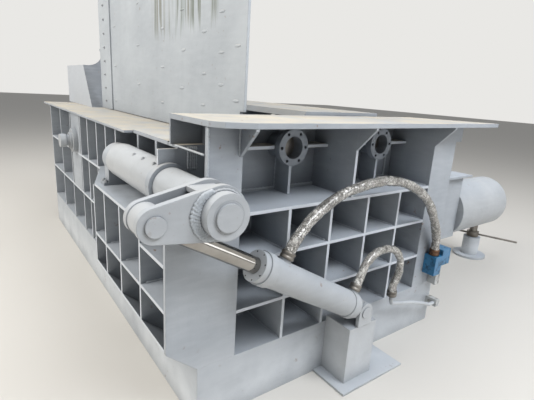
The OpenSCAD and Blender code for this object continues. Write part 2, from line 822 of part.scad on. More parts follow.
module crank_hub() color(pale) place()
    difference() {
        bar_y(shaft_x, shaft_z, hub_r, cheek_rear + cheek_t, hub_end);
        bar_y(shaft_x, shaft_z, shaft_r + run_fit, cheek_rear, hub_end + 1);
    }

module crank_cheeks() color(pale) place() {
    for (y = [cheek_front, cheek_rear])
        upright_x(y, cheek_t) difference() {
            link_outline([shaft_x, shaft_z], cheek_big_r, [pin_x, pin_z], cheek_eye_r);
            translate([shaft_x, shaft_z]) circle(r = shaft_r + run_fit);
            translate([pin_x, pin_z]) circle(r = crank_pin_r + run_fit);
        }
    difference() {
        bar_y(shaft_x, shaft_z, hub_r + 2, boss_front, cheek_front);
        bar_y(shaft_x, shaft_z, shaft_r + run_fit, boss_front - 1, cheek_front + 1);
    }
    spacer_z = shaft_z + shaft_r + 10;
    translate([shaft_x - 90, cheek_front + cheek_t, spacer_z]) cube([110, cheek_gap, 18]);
}

module crank_pins() color(steel) place()
    for (y = [cheek_front, cheek_rear])
        bar_y(pin_x, pin_z, crank_pin_r, y - (y == cheek_front ? 10 : 0), y + cheek_t + (y == cheek_front ? 0 : 10));

// The tube is turned in one piece, with its far shoulder rounded
module torque_tube() color(pale) place() {
    round_r = 30;
    tube_l = tube_end - tube_y;
    inner = shaft_r + run_fit;
    translate([shaft_x, tube_y, shaft_z]) rotate([-90, 0, 0]) rotate_extrude() {
        translate([inner, 0]) square([tube_r - inner, tube_l - round_r]);
        translate([inner, 0]) square([tube_r - round_r - inner, tube_l]);
        intersection() {
            translate([tube_r - round_r, tube_l - round_r]) circle(r = round_r);
            translate([tube_r - round_r, tube_l - round_r]) square(round_r + 1);
        }
    }
}

module feed_arms() color(paint) place()
    for (y = [538, 803])
        upright_x(y, 25) difference() {
            polygon([[feed_x, shaft_z], [shaft_x + 130, shaft_z], [left_d - 30, under_deck - 50],
                [left_d - 30, under_deck], [feed_x, under_deck]]);
            translate([shaft_x, shaft_z]) circle(r = tube_r + seat_gap);
        }

module feed_floor() color(paint) place()
    translate([feed_x, feed_y, under_deck]) cube([left_d - 2 - feed_x, feed_l, panel_z - under_deck]);

module feed_skins() color(paint) place() {
    lap_t = 10;
    lap = 40;
    notch_z = raised_top + 12;
    edge_out = 34;
    panel_top = panel_z + panel_h;
    upright_y(panel_x, skin_t) polygon([[panel_y, panel_z], [panel_far, panel_z],
        [panel_far, panel_top], [panel_y - edge_out, panel_top], [panel_y - edge_out, notch_z],
        [panel_y, notch_z]]);
    translate([panel_x + panel_t - skin_t, panel_y + frame_back, panel_z])
        cube([skin_t, panel_l - frame_back, panel_h]);
    translate([panel_x - lap_t, panel_far - lap, panel_z]) cube([lap_t, lap + extension_l, panel_h]);
}

module feed_frame() color(paint) place() {
    gap = panel_t - 2 * skin_t;
    bar_w = 30;
    strap = 120;
    posts = 8;
    x0 = panel_x + skin_t;
    y0 = panel_y + frame_back;
    run = panel_l - frame_back - strap / 2;
    for (z = [panel_z, panel_z + panel_h - bar_w])
        translate([x0, y0, z]) cube([gap, run, bar_w]);
    for (k = [0:posts - 1])
        translate([x0, y0 + k * (run - bar_w) / posts, panel_z + bar_w])
            cube([gap, bar_w, panel_h - 2 * bar_w]);
    translate([x0, panel_far - strap / 2, panel_z]) cube([gap, strap, panel_h]);
}

module crank_barrel() color(pale) place() {
    along_cylinder() difference() {
        union() {
            translate([0, 0, gland_at]) cylinder(r = crank_barrel_r, h = barrel_back - gland_at);
            translate([0, 0, gland_at + 30]) cylinder(r = crank_barrel_r + 6, h = 45);
            translate([0, 0, barrel_back - 60]) cylinder(r = crank_barrel_r + 5, h = 40);
            for (along = [front_port, rear_port])
                translate([0, 0, along]) rotate([0, -90, 0]) cylinder(r = port_r, h = port_h);
        }
        translate([0, 0, gland_at - 1]) cylinder(r = crank_rod_r + run_fit, h = gland_l + 2);
        translate([0, 0, gland_at + gland_l])
            cylinder(r = crank_bore_r, h = barrel_back - 30 - gland_at - gland_l);
    }
    difference() {
        union() {
            bar_y(pivot_x, pivot_z, 50, cyl_y - eye_t / 2, cyl_y + eye_t / 2);
            along_cylinder() translate([-50, -eye_t / 2, barrel_back]) cube([100, eye_t, cyl_len - barrel_back]);
        }
        bar_y(pivot_x, pivot_z, 30 + run_fit, cyl_y - eye_t, cyl_y + eye_t);
    }
}

module crank_rod() color(steel) place() {
    eye_r = cheek_eye_r - 4;
    piston_at = gland_at + gland_l + 10;
    difference() {
        union() {
            bar_y(pin_x, pin_z, eye_r, cyl_y - eye_t / 2, cyl_y + eye_t / 2);
            along_cylinder() translate([0, 0, eye_r - 15]) cylinder(r = crank_rod_r, h = piston_at - eye_r + 15);
        }
        bar_y(pin_x, pin_z, crank_pin_r + 4, cyl_y - eye_t, cyl_y + eye_t);
    }
    along_cylinder() translate([0, 0, piston_at]) cylinder(r = crank_bore_r - run_fit, h = 60);
}

module main_ram() color(paint) place() {
    face_t = 60;
    difference() {
        translate([ram_x, ram_y, ram_low]) cube([ram_w, ram_l, ram_top - ram_low]);
        translate([ram_x + wall_t, ram_y + face_t, ram_low + wall_t])
            cube([ram_w - 2 * wall_t, ram_l, ram_top - ram_low - 2 * wall_t]);
    }
}

module main_rod() color(steel) place() {
    front_y = ram_y + 60;
    piston_y = ram_y + 700 + 110 + ram_travel + 20;
    bar_y(chamber_mid, main_z, main_rod_r + 50, front_y, front_y + 40);
    bar_y(chamber_mid, main_z, main_rod_r, front_y + 40, piston_y);
    bar_y(chamber_mid, main_z, main_barrel_r - 30 - run_fit, piston_y, piston_y + 80);
}

module side_ram() color(paint) place()
    translate([chamber_end, side_y - side_w / 2, side_low]) cube([side_ram_l, side_w, side_h]);

module side_rod() color(steel) place() {
    piston_x = channel_end + 60 + side_travel + 20;
    bar_x(side_y, side_z, side_rod_r, chamber_end + side_ram_l, piston_x);
    bar_x(side_y, side_z, side_barrel_r - 40 - run_fit, piston_x, piston_x + 70);
}

module lock_pin(x) {
    pin_face = 235;
    bar_y(x, lock_z, lock_r - run_fit, pin_face, wall_back + 15);
}

module lock_pin_left() color(steel) place() lock_pin(lock_left);
module lock_pin_right() color(steel) place() lock_pin(lock_left + lock_gap);

base_frame();
chamber_floor();
left_wall();
left_shelves();
left_ribs();
step_ribs();
post_plate();
post_boss();
left_deck();
rear_bracket();
left_column();
right_column();
front_wall();
front_shelves();
front_ribs();
bay_sides();
sleeve_webs();
gussets();
top_plate();
cheek_plate();
lock_sleeves();
right_wall();
right_ribs();
right_deck();
side_channel();
side_barrel();
rear_wall();
main_barrel();
bearing_bases();
bearing_caps();
pedestal();
pivot_pin();
valve_block();
long_hose();
short_hose();
return_pipe();
jack_base();
jack_screw();
lid_brackets();
lid_pin();
lid_panel();
lid_ribs();
lid_cover();
crank_shaft();
crank_hub();
crank_cheeks();
crank_pins();
torque_tube();
feed_arms();
feed_floor();
feed_skins();
feed_frame();
crank_barrel();
crank_rod();
main_ram();
main_rod();
side_ram();
side_rod();
lock_pin_left();
lock_pin_right();
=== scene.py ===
# %% [markdown]
# A scrap baler in dusty blue-grey paint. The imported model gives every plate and
# cylinder; this lesson gives them their finish and adds what fabrication and use
# leave behind: weld beads, plug welds, bolts, wrapped hoses, dust and rust.

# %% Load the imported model
import json
import math
import random

import bmesh
import bpy
from mathutils import Matrix, Vector, noise


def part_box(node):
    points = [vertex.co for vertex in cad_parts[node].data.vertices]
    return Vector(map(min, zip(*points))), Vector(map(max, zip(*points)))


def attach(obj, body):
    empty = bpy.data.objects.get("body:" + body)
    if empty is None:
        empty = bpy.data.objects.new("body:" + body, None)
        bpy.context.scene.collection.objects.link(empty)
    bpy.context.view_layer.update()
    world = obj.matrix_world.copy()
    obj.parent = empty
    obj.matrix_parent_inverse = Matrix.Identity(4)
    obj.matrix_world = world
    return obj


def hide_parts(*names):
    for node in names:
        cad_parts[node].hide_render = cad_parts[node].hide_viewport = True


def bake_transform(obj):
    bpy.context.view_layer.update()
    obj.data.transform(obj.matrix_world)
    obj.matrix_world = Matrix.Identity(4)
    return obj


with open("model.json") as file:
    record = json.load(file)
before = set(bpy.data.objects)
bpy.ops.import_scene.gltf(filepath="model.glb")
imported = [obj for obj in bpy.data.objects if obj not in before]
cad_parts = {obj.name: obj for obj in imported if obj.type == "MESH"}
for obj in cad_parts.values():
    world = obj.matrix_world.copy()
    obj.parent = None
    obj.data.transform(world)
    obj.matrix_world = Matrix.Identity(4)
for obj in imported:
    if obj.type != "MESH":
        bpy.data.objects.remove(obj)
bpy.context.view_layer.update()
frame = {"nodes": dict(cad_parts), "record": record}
nodes = frame["nodes"]

# %% [markdown]
# All places are worked out from the corner of the base nearest the crank, in
# millimetres: X to the right, Y to the back, Z up. One function turns them to
# metres in the row frame, whose origin is under the middle of the base.

# %% Places
MM = 0.001
base_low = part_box("base_frame")[0]
CORNER = Vector((base_low.x, base_low.y, 0.0))
# The crank pin, the crank cylinder's rear pivot, and the axis of the crank shaft.
PIN = (-252, -125, 1060)
PIVOT = (880, -125, 410)
SHAFT_X, SHAFT_Z = -10, 1072
WORLD_UP = Vector((0, 0, 1))


def at(x, y, z):
    return CORNER + Vector((x, y, z)) * MM


def tone(code):
    """A colour written as #RRGGBB, in the linear values that Blender mixes."""
    parts = [int(code[k:k + 2], 16) / 255 for k in (1, 3, 5)]
    linear = [p / 12.92 if p <= 0.04045 else ((p + 0.055) / 1.055) ** 2.4 for p in parts]
    return (*linear, 1.0)


print("corner", tuple(CORNER))

# %% [markdown]
# The camera stands at eye height, 1.5 m, off the near left corner. Its lens and
# turn come from the vanishing points of the long edges.

# %% Camera
scene = bpy.context.scene
EYE = at(-697.5, -1372.5, 1500)
# The camera's own axes in the row frame, as the columns of its turn.
RIGHT = (0.80987, -0.58369, 0.05850)
UP = (0.10694, 0.24496, 0.96362)
BACK = (-0.57678, -0.77415, 0.26080)
camera = bpy.data.cameras.new("camera")
camera.lens = 27.27
camera.sensor_width = 36
camera.clip_end = 60
eye = bpy.data.objects.new("camera", camera)
scene.collection.objects.link(eye)
eye.matrix_world = Matrix([
    (RIGHT[row], UP[row], BACK[row], EYE[row]) for row in range(3)] + [(0, 0, 0, 1)])
scene.camera = eye
print("camera", tuple(round(v, 3) for v in EYE))

# %% [markdown]
# A studio floor and soft lamps. The main lamp hangs high on the left, so the deck
# is brightest, the left side next and the front in half shade. The world lights
# the baler dimly; the camera, and whatever is mirrored in metal, see it pale.

# %% Light and floor
WORLD_LIGHT = 0.33
FLOOR_HALF = 40  # metres from the middle to each edge
# Name, place and aim in metres, size, watts and colour of each lamp.
LAMPS = [
    ("high_left", (-6.5, 0.5, 6.0), (0, 0, 0.8), (6, 5), 630, "#FFFBF5"),
    ("top", (1.0, 1.0, 7.0), (0, 0, 1), (8, 8), 170, "#FFFFFF"),
    ("high_front", (1.2, -5.6, 6.2), (0.4, -1.6, 0.5), (5, 2.5), 450, "#F7FAFF"),
    ("low_front", (3.5, -7.0, 1.6), (0.6, -1.6, 0.3), (4, 1.5), 48, "#F7FAFF")]


def add(tree, kind, links=(), **settings):
    """A node with its links. A setting in_NAME or in_NUMBER fills that input."""
    made = tree.nodes.new(kind)
    for key, value in settings.items():
        if key.startswith("in_"):
            name = key[3:]
            socket = int(name) if name.isdigit() else name.replace("_", " ")
            made.inputs[socket].default_value = value
        else:
            setattr(made, key, value)
    for socket, source in links:
        tree.links.new(source, made.inputs[socket])
    return made


def maths(tree, operation, *values):
    """A sum of two or three values, each of them a socket or a plain number."""
    made = add(tree, "ShaderNodeMath", operation=operation)
    for k, value in enumerate(values):
        if isinstance(value, (int, float)):
            made.inputs[k].default_value = value
        else:
            tree.links.new(value, made.inputs[k])
    return made.outputs[0]


def light_world(tree):
    tree.nodes.clear()
    rays = add(tree, "ShaderNodeLightPath").outputs
    lit = add(tree, "ShaderNodeBackground", in_Color=tone("#E6E9EE"), in_Strength=WORLD_LIGHT)
    seen = add(tree, "ShaderNodeBackground", in_Color=tone("#E9E8E5"), in_Strength=1.0)
    mirrored = maths(tree, "MAXIMUM", rays["Is Glossy Ray"], rays["Is Transmission Ray"])
    shown = maths(tree, "MAXIMUM", rays["Is Camera Ray"], mirrored)
    mixed = add(tree, "ShaderNodeMixShader", [
        (0, shown), (1, lit.outputs[0]), (2, seen.outputs[0])])
    add(tree, "ShaderNodeOutputWorld", [(0, mixed.outputs[0])])


def lamp(name, place, aim, size, power, colour):
    data = bpy.data.lights.new(name, "AREA")
    data.shape = "RECTANGLE"
    data.size, data.size_y = size
    data.energy = power
    data.color = tone(colour)[:3]
    holder = bpy.data.objects.new(name, data)
    scene.collection.objects.link(holder)
    holder.location = place
    holder.rotation_euler = (Vector(aim) - Vector(place)).to_track_quat("-Z", "Y").to_euler()


def plain_floor():
    mesh = bpy.data.meshes.new("floor")
    form = bmesh.new()
    bmesh.ops.create_grid(form, x_segments=1, y_segments=1, size=FLOOR_HALF)
    form.to_mesh(mesh)
    form.free()
    floor = bpy.data.objects.new("floor", mesh)
    scene.collection.objects.link(floor)
    paint = bpy.data.materials.new("studio_floor")
    paint.use_nodes = True
    shader = paint.node_tree.nodes["Principled BSDF"]
    shader.inputs["Base Color"].default_value = tone("#CFCCC6")
    shader.inputs["Roughness"].default_value = 0.85
    mesh.materials.append(paint)


scene.view_settings.view_transform = "Standard"
world = bpy.data.worlds.new("studio")
scene.world = world
world.use_nodes = True
light_world(world.node_tree)
for row in LAMPS:
    lamp(*row)
plain_floor()
print("lamps", len(LAMPS), "floor 1")

# %% [markdown]
# Every finish is procedural, and its patterns lie in the baler's own space. These
# helpers are what the recipes have in common: a cloud of noise cut to a range, a
# ramp, a blend of two colours and a bump.

# %% Helpers for finishes


def start_material(name):
    made = bpy.data.materials.new(name)
    made.use_nodes = True
    tree = made.node_tree
    tree.nodes.clear()
    return made, tree, add(tree, "ShaderNodeTexCoord").outputs["Object"]


def finish_material(tree, colour, roughness, bumps, metallic=0.0, coat=0.0):
    shader = add(tree, "ShaderNodeBsdfPrincipled", [
        ("Base Color", colour), ("Roughness", roughness), ("Normal", bumps)])
    if isinstance(metallic, float):
        shader.inputs["Metallic"].default_value = metallic
    else:
        tree.links.new(metallic, shader.inputs["Metallic"])
    shader.inputs["Coat Weight"].default_value = coat
    add(tree, "ShaderNodeOutputMaterial", [("Surface", shader.outputs[0])])


def ramp(tree, value, low, high, to_low=0.0, to_high=1.0):
    return add(tree, "ShaderNodeMapRange", [("Value", value)], in_From_Min=low,
               in_From_Max=high, in_To_Min=to_low, in_To_Max=to_high).outputs[0]


def cloud(tree, place, scale, detail=2.0, stretch=None):
    if stretch:
        place = add(tree, "ShaderNodeMapping", [("Vector", place)], in_Scale=stretch).outputs[0]
    return add(tree, "ShaderNodeTexNoise", [("Vector", place)],
               in_Scale=scale, in_Detail=detail).outputs["Fac"]


def spots(tree, place, scale, low, high, detail=4.0, stretch=None):
    return ramp(tree, cloud(tree, place, scale, detail, stretch), low, high)


def times(tree, first, second):
    return maths(tree, "MULTIPLY", first, second)


def blend_colour(tree, amount, under, over):
    """Both colours are sockets or colour codes."""
    mix = add(tree, "ShaderNodeMix", [("Factor", amount)], data_type="RGBA")
    for slot, value in ((6, under), (7, over)):
        if isinstance(value, str):
            mix.inputs[slot].default_value = tone(value)
        else:
            tree.links.new(value, mix.inputs[slot])
    return mix.outputs[2]


def dot_with(tree, vector, way):
    return add(tree, "ShaderNodeVectorMath", [(0, vector)], operation="DOT_PRODUCT",
               in_1=way).outputs["Value"]


def bump(tree, height, strength, depth, under=None):
    links = [("Height", height)] + ([] if under is None else [("Normal", under)])
    return add(tree, "ShaderNodeBump", links, in_Strength=strength, in_Distance=depth).outputs[0]


def soft_edges(tree, radius):
    return add(tree, "ShaderNodeBevel", samples=4, in_Radius=radius).outputs[0]


print("finish helpers ready")

# %% [markdown]
# Machine enamel over steel plate, rolled or sprayed without a primer coat. It is
# satin, a little uneven and chipped to brown. Sandy dust lies on every face that
# looks up; lower down, where the plates above keep the light off, it is painted
# bluish grey as shade. Corners and recesses are painted darker as shade, the foot
# turns paler in spots towards the floor, and faces turned one way, such as the
# front edges of the ribs, are painted lighter as a highlight. The same recipe,
# paler, covers the cylinders.

# %% Painted steel
# Each cloud has its scale per metre, the range it is cut to, its detail and how
# far it is stretched along X, Y and Z.
CLOUDS = {
    "patches": (2.3, 0.30, 0.72),
    "streaks": (13.0, 0.50, 0.80, 6.0, (1, 1, 0.09)),
    "roller": (38.0, 0.42, 0.70, 3.0, (0.22, 0.22, 1)),
    "pale_foot": (4.0, 0.15, 0.60, 5.0),
    "dust": (5.5, 0.18, 0.62, 6.0),
    "chips": (34.0, 0.665, 0.70, 8.0),
    "chip_zones": (2.3, 0.46, 0.66),
    "drip_runs": (1.0, 0.46, 0.60, 5.0, (0, 44.0, 0.7)),
    "drip_tones": (1.0, 0.40, 0.60, 2.0, (0, 9.0, 0.2))}
# Height in metres where the paler foot begins and is full, and where the dust
# turns from bluish grey, painted as shade, to sandy.
PALE_FOOT_RISE = (0.42, 0.10)
SHADE_TO_SANDY_RISE = (1.10, 1.24)
# How far a corner's painted shade darkens the plates beside it, in metres.
NOOK_REACH = 0.16
DUSTY_ROUGHNESS = 0.92
# How much the feet of the drips differ, where over a band's foot they fade in,
# and how softly a band ends on each side; all in metres.
DRIP_SPREAD = 0.55
DRIP_FOOT = (0.26, 0.34)
BAND_SOFTNESS = 0.03
# How strongly each layer covers what lies under it.
COVER = {"streaks": 0.45, "roller": 0.09, "pale_foot": 0.75, "painted_highlight": 0.65, "drips": 0.9}


def between(tree, value, low, high, soft):
    rise = ramp(tree, value, low - soft, low + soft)
    fall = ramp(tree, value, high + soft, high - soft)
    return times(tree, rise, fall)


def drips(tree, place, facing, bands):
    """Runs of grime down the left face; a band is its Y range and its foot."""
    axes = add(tree, "ShaderNodeSeparateXYZ", [(0, place)]).outputs
    sides = add(tree, "ShaderNodeSeparateXYZ", [(0, facing)]).outputs
    faces_left = maths(tree, "LESS_THAN", sides["X"], -0.5)
    runs = spots(tree, place, *CLOUDS["drip_runs"])
    ragged = cloud(tree, place, 1.0, 3.0, (0, 24.0, 0))
    height = maths(tree, "MULTIPLY_ADD", ragged, DRIP_SPREAD, axes["Z"])
    total = None
    for first, last, foot in bands:
        along = between(tree, axes["Y"], first, last, BAND_SOFTNESS)
        above = ramp(tree, height, foot + DRIP_FOOT[0], foot + DRIP_FOOT[1])
        part = times(tree, along, above)
        total = part if total is None else maths(tree, "MAXIMUM", total, part)
    return times(tree, times(tree, runs, total), faces_left)


def rolled_coat(tree, place, coat, shade):
    colour = blend_colour(tree, spots(tree, place, *CLOUDS["patches"]), coat, shade)
    streaks = spots(tree, place, *CLOUDS["streaks"])
    colour = blend_colour(tree, times(tree, streaks, COVER["streaks"]), colour, shade)
    roller = spots(tree, place, *CLOUDS["roller"])
    return blend_colour(tree, times(tree, roller, COVER["roller"]), colour, "#D5DADD")


def pale_foot_and_painted_shade(tree, place, height, colour, painted_shade_most):
    # The foot is lightened in spots towards the floor.
    pale_foot = times(tree, ramp(tree, height, *PALE_FOOT_RISE), spots(tree, place, *CLOUDS["pale_foot"]))
    colour = blend_colour(tree, times(tree, pale_foot, COVER["pale_foot"]), colour, "#D3D7DA")
    # Painted shade: where ambient occlusion finds a corner or recess, the colour is darkened
    # towards #4A4F57, as shade falls there.
    nook = add(tree, "ShaderNodeAmbientOcclusion", samples=6, in_Distance=NOOK_REACH)
    grime = ramp(tree, nook.outputs["AO"], 0.82, 0.18, to_high=painted_shade_most)
    return blend_colour(tree, grime, colour, "#4A4F57")


def painted_steel(name, coat, shade, dust_tone, dust, chips, rough=0.5, bands=(),
                  painted_shade_most=0.62, highlight_way=None):
    made, tree, place = start_material(name)
    facing = add(tree, "ShaderNodeNewGeometry").outputs["Normal"]
    height = add(tree, "ShaderNodeSeparateXYZ", [(0, place)]).outputs["Z"]
    colour = rolled_coat(tree, place, coat, shade)
    colour = pale_foot_and_painted_shade(tree, place, height, colour, painted_shade_most)

    lean = add(tree, "ShaderNodeSeparateXYZ", [(0, facing)]).outputs["Z"]
    looks_up = ramp(tree, lean, 0.35, 0.95)
    dusty = times(tree, looks_up, spots(tree, place, *CLOUDS["dust"]))
    # Painted shade: below the deck the dust is bluish grey, as it lies in shade; above that it is
    # sandy.
    dust_and_painted_shade = blend_colour(tree, ramp(tree, height, *SHADE_TO_SANDY_RISE), "#ABB2BA", dust_tone)
    colour = blend_colour(tree, times(tree, dusty, dust), colour, dust_and_painted_shade)

    worn = times(tree, spots(tree, place, *CLOUDS["chips"]),
                 spots(tree, place, *CLOUDS["chip_zones"]))
    colour = blend_colour(tree, times(tree, worn, chips), colour, "#7A5A41")
    # Painted highlight: faces turned towards the given way are lightened to #D3D8DE, as if they
    # caught the light.
    if highlight_way:
        highlight_mask = maths(tree, "GREATER_THAN", dot_with(tree, facing, highlight_way), 0.8)
        colour = blend_colour(tree, times(tree, highlight_mask, COVER["painted_highlight"]), colour, "#D3D8DE")
    if bands:
        drip_tone = blend_colour(tree, spots(tree, place, *CLOUDS["drip_tones"]),
                                 "#667066", "#77766A")
        dripped = times(tree, drips(tree, place, facing, bands), COVER["drips"])
        colour = blend_colour(tree, dripped, colour, drip_tone)

    rough_map = ramp(tree, dusty, 0.0, 1.0, rough, DUSTY_ROUGHNESS)
    fine = bump(tree, cloud(tree, place, 90.0, 5.0), 0.26, 0.002, soft_edges(tree, 0.004))
    broad = bump(tree, cloud(tree, place, 7.0), 0.35, 0.012, fine)
    finish_material(tree, colour, rough_map, broad)
    return made


# Two bands of drips hang on the feed panel: Y range in millimetres, foot in metres.
PANEL_BANDS = [(at(0, first, 0).y, at(0, last, 0).y, foot)
               for first, last, foot in ((620, 1130, 1.83), (1180, 1515, 1.80))]
BODY_COAT = {"coat": "#A7ACB1", "shade": "#949AA1", "dust_tone": "#C3BAA8",
             "dust": 0.85, "chips": 0.8}
ENAMEL = painted_steel("blue_grey_enamel", **BODY_COAT)
# Two copies of the body enamel with a painted highlight: one on the faces turned to the front,
# one on those turned left.
FRONT_GRID = painted_steel("front_grid_enamel", **BODY_COAT, highlight_way=(0, -1, 0))
LEFT_GRID = painted_steel("left_grid_enamel", **BODY_COAT, highlight_way=(-1, 0, 0))
PANEL = painted_steel("panel_enamel", "#B4BABF", "#A3A9AF", "#C3BAA8", dust=0.8, chips=0.6,
                      bands=PANEL_BANDS)
CYLINDER = painted_steel("pale_cylinder_enamel", "#B1B4B6", "#9FA3A7", "#C0BAAD", dust=0.5,
                         chips=0.5, rough=0.4)
BEAD = painted_steel("weld_enamel", "#BDC2C6", "#A9AFB4", "#CBC5B9", dust=0.4, chips=0.3,
                     rough=0.4, painted_shade_most=0.25)
# The rear bracket is painted darker as shade, and its side plate that faces left is painted
# lighter as a highlight.
BRACKET_SHADE = painted_steel("bracket_painted_shade", "#737980", "#646A72", "#9A9A98", dust=0.4, chips=0.5,
                       highlight_way=(-1, 0, 0))
# The lock sleeves are painted darker as shade, under the plates above them.
SLEEVE_SHADE = painted_steel("sleeve_painted_shade", "#8A9097", "#787E86", "#9A9A98", dust=0.4, chips=0.8)
PAINTS = (ENAMEL, FRONT_GRID, LEFT_GRID, PANEL, CYLINDER, BEAD, BRACKET_SHADE, SLEEVE_SHADE)
print("painted finishes", *(paint.name for paint in PAINTS))

# %% [markdown]
# Hard chrome on the rods, turned steel on pins and bolts, gloss valve paint, and
# the clear film that protects new hoses until the machine is delivered.

# %% Metals, valve paint and film
ROD_EYE_LENGTH = 0.064  # metres of painted eye, from the crank pin along the rod
BLOCK_RIGHT = at(1719.6, 0, 0).x
BLOCK_FOOT, FITTING_FOOT = 0.4552, 0.5255  # heights on the valve, in metres


def worked_metal(name, colour_hex, dark_hex, rough, line_scale):
    made, tree, place = start_material(name)
    blot = spots(tree, place, 11.0, 0.35, 0.75)
    colour = blend_colour(tree, blot, colour_hex, dark_hex)
    rough_map = ramp(tree, blot, 0.0, 1.0, rough, rough + 0.2)
    fine = bump(tree, cloud(tree, place, line_scale, 3.0), 0.12, 0.001)
    finish_material(tree, colour, rough_map, fine, 1.0)
    return made


# Painted shade: a dark glossy finish for the discs that stand in the hollows of screw sockets.
def dark_socket_shade(name, colour_hex, dark_hex):
    made, tree, place = start_material(name)
    grime = spots(tree, place, 24.0, 0.5, 0.75)
    colour = blend_colour(tree, grime, colour_hex, dark_hex)
    rough_map = ramp(tree, grime, 0.0, 1.0, 0.25, 0.6)
    fine = bump(tree, cloud(tree, place, 140.0), 0.1, 0.001)
    finish_material(tree, colour, rough_map, fine, 0.0, 0.3)
    return made


def rod_finish(name, pin, way):
    """The rod leaves its eye painted: chrome starts where the eye ends."""
    made, tree, place = start_material(name)
    offset = add(tree, "ShaderNodeVectorMath", [(0, place)], operation="SUBTRACT",
                 in_1=pin).outputs[0]
    bare = maths(tree, "GREATER_THAN", dot_with(tree, offset, way), ROD_EYE_LENGTH)
    blot = spots(tree, place, 8.0, 0.35, 0.8)
    metal = blend_colour(tree, blot, "#A3A09B", "#827D76")
    colour = blend_colour(tree, bare, "#AEB1B3", metal)
    rough_map = ramp(tree, bare, 0.0, 1.0, 0.45, 0.09)
    fine = bump(tree, cloud(tree, place, 220.0), 0.05, 0.001)
    finish_material(tree, colour, rough_map, fine, bare)
    return made


def valve_finish(name):
    """One casting: the blue block, its rusty fitting on top and bare steel below."""
    made, tree, place = start_material(name)
    axes = add(tree, "ShaderNodeSeparateXYZ", [(0, place)]).outputs
    high = maths(tree, "GREATER_THAN", axes["Z"], BLOCK_FOOT)
    near = maths(tree, "LESS_THAN", axes["X"], BLOCK_RIGHT)
    top = maths(tree, "GREATER_THAN", axes["Z"], FITTING_FOOT)
    grime = spots(tree, place, 34.0, 0.50, 0.72, 6.0)
    paint = blend_colour(tree, grime, "#2C6F99", "#1B4058")
    bare = blend_colour(tree, grime, "#B4B6B5", "#77736C")
    colour = blend_colour(tree, maths(tree, "MAXIMUM", high, near), bare, paint)
    colour = blend_colour(tree, times(tree, top, near), colour, "#6B5848")
    rough_map = ramp(tree, grime, 0.0, 1.0, 0.28, 0.65)
    fine = bump(tree, cloud(tree, place, 60.0, 6.0), 0.4, 0.003, soft_edges(tree, 0.005))
    finish_material(tree, colour, rough_map, fine, 0.0, 0.25)
    return made


def wound_film(name):
    """Cells pulled askew by broad folds make the creases of tightly wound film."""
    made, tree, place = start_material(name)
    folds = add(tree, "ShaderNodeTexNoise", [("Vector", place)], in_Scale=16.0, in_Detail=7.0,
                in_Roughness=0.62, in_Distortion=1.6).outputs
    warped = add(tree, "ShaderNodeVectorMath", [(0, folds["Color"]), (2, place)],
                 operation="MULTIPLY_ADD", in_1=(0.06, 0.06, 0.06)).outputs[0]
    rims = add(tree, "ShaderNodeTexVoronoi", [("Vector", warped)], in_Scale=46.0,
               feature="DISTANCE_TO_EDGE").outputs["Distance"]
    milky = spots(tree, place, 12.0, 0.34, 0.66, 6.0)
    colour = blend_colour(tree, milky, "#A9A6A0", "#DEDBD4")
    # Painted light: some spots are lightened nearly to white as glints, others are darkened as
    # shade in the folds, and the creases between the cells are darkened as shade.
    painted_glint = spots(tree, place, 30.0, 0.55, 0.63, 7.0)
    colour = blend_colour(tree, painted_glint, colour, "#F6F4EE")
    shade = spots(tree, place, 24.0, 0.58, 0.68, 6.0, (1.0, 1.2, 0.8))
    colour = blend_colour(tree, times(tree, shade, 0.7), colour, "#5F5B55")
    crease = ramp(tree, rims, 0.10, 0.0, to_high=0.75)
    colour = blend_colour(tree, crease, colour, "#55504A")
    rough_map = ramp(tree, milky, 0.0, 1.0, 0.10, 0.24)
    fold = bump(tree, ramp(tree, folds["Fac"], 0.30, 0.70), 1.0, 0.02)
    fine = bump(tree, ramp(tree, rims, 0.0, 0.30), 0.9, 0.006, fold)
    finish_material(tree, colour, rough_map, fine, 0.3, 1.0)
    return made


CHROME = worked_metal("hard_chrome", "#B0A396", "#8B7A6B", 0.12, 160.0)
STEEL = worked_metal("turned_steel", "#8D8A85", "#5E5850", 0.35, 220.0)
RUST = worked_metal("rusty_fitting", "#6A5242", "#43362E", 0.45, 90.0)
SOCKET_SHADE = dark_socket_shade("painted_socket_shade", "#25262A", "#3A3732")
VALVE = valve_finish("valve_enamel")
FILM = wound_film("wound_film")
ROD = rod_finish("chromed_rod_painted_eye", at(*PIN), (at(*PIVOT) - at(*PIN)).normalized())
METALS = (CHROME, STEEL, RUST, SOCKET_SHADE, VALVE, FILM, ROD)
print("other finishes", *(finish.name for finish in METALS))

# %% [markdown]
# Each node takes the finish of its slot in the record, and some take one of their
# own in its place.

# %% Finishes for the nodes
BY_SLOT = {
    "grey_paint": ENAMEL, "cylinder_paint": CYLINDER, "chrome_rod": CHROME,
    "bare_steel": STEEL, "valve_paint": VALVE, "hose_film": FILM, "pipe_paint": CYLINDER}
OWN_FINISH = {
    PANEL: ("feed_skins",),
    ROD: ("crank_rod",),
    CYLINDER: ("crank_shaft", "crank_pins", "pivot_pin"),
    SLEEVE_SHADE: ("lock_sleeves",),
    BRACKET_SHADE: ("rear_bracket",),
    FRONT_GRID: ("sleeve_webs", "gussets", "front_shelves", "front_ribs"),
    LEFT_GRID: ("left_ribs", "left_shelves", "step_ribs")}
BY_NODE = {node: finish for finish, names in OWN_FINISH.items() for node in names}
for part in frame["record"]["subparts"]:
    coats = nodes[part["node"]].data.materials
    coats.clear()
    coats.append(BY_NODE.get(part["node"], BY_SLOT[part["material_slot"]]))
print("finishes given to", len(nodes), "nodes,", len(BY_NODE), "of them their own")

# %% [markdown]
# Helpers for the added pieces: a bmesh becomes an object at the origin, and a
# curve of points becomes a tube whose radius may change along it.

